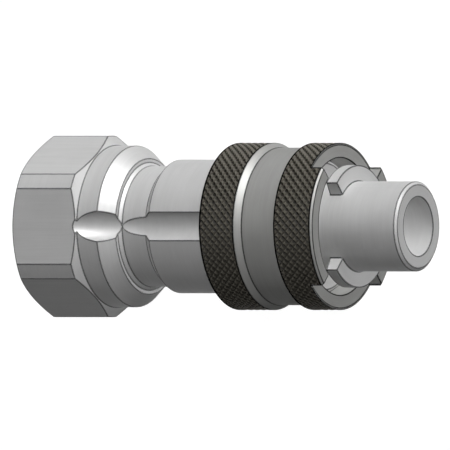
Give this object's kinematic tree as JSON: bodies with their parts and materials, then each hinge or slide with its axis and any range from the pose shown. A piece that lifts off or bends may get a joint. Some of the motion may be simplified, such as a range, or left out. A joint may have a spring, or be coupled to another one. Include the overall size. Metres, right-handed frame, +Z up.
{
  "type": "quick coupling",
  "caption": "Male half of a bayonet-lug quick coupling: hexagon with a female pipe thread, spring-loaded knurled sleeve with two ears, lugged nose tube, check valve inside.",
  "frame": {"origin": "centre of the hexagon's end face, on the axis of the pipe thread", "axes": "+X along the axis towards the nose, +Z up from the flat of the hexagon that the part lies on"},
  "size_m": [0.0976, 0.042, 0.0386],
  "materials": {
    "body_steel": "fine turned and milled steel, satin",
    "sleeve_steel": "satin steel with two dark diamond-knurled bands",
    "bronze": "turned bearing bronze",
    "key_steel": "ground steel",
    "ring_steel": "oil-blacked spring steel",
    "spring_steel": "drawn spring wire",
    "valve_steel": "turned steel",
    "seal_rubber": "smooth black rubber"
  },
  "bodies": {
    "body": {"body": "body_steel", "stop_ring": "ring_steel", "spring_washer": "key_steel", "sleeve_spring": "spring_steel", "valve_guide": "valve_steel", "valve_ring": "ring_steel", "valve_spring": "spring_steel"},
    "sleeve": {"sleeve": "sleeve_steel", "guide_bush": "bronze", "guide_key_1": "key_steel", "guide_key_2": "key_steel", "sleeve_ring": "ring_steel"},
    "poppet": {"poppet": "valve_steel", "poppet_seal": "seal_rubber"}
  },
  "joints": [
    {"name": "sleeve_slide", "type": "slide", "parent": "body", "child": "sleeve", "axis": [-1, 0, 0], "range_m": [0, 0.0076], "stiffness_N_per_m": 1500, "springref_m": -0.008, "deforming": ["sleeve_spring"]},
    {"name": "valve_slide", "type": "slide", "parent": "body", "child": "poppet", "axis": [-1, 0, 0], "range_m": [0, 0.005], "stiffness_N_per_m": 1200, "springref_m": -0.006, "deforming": ["valve_spring"]}
  ]
}
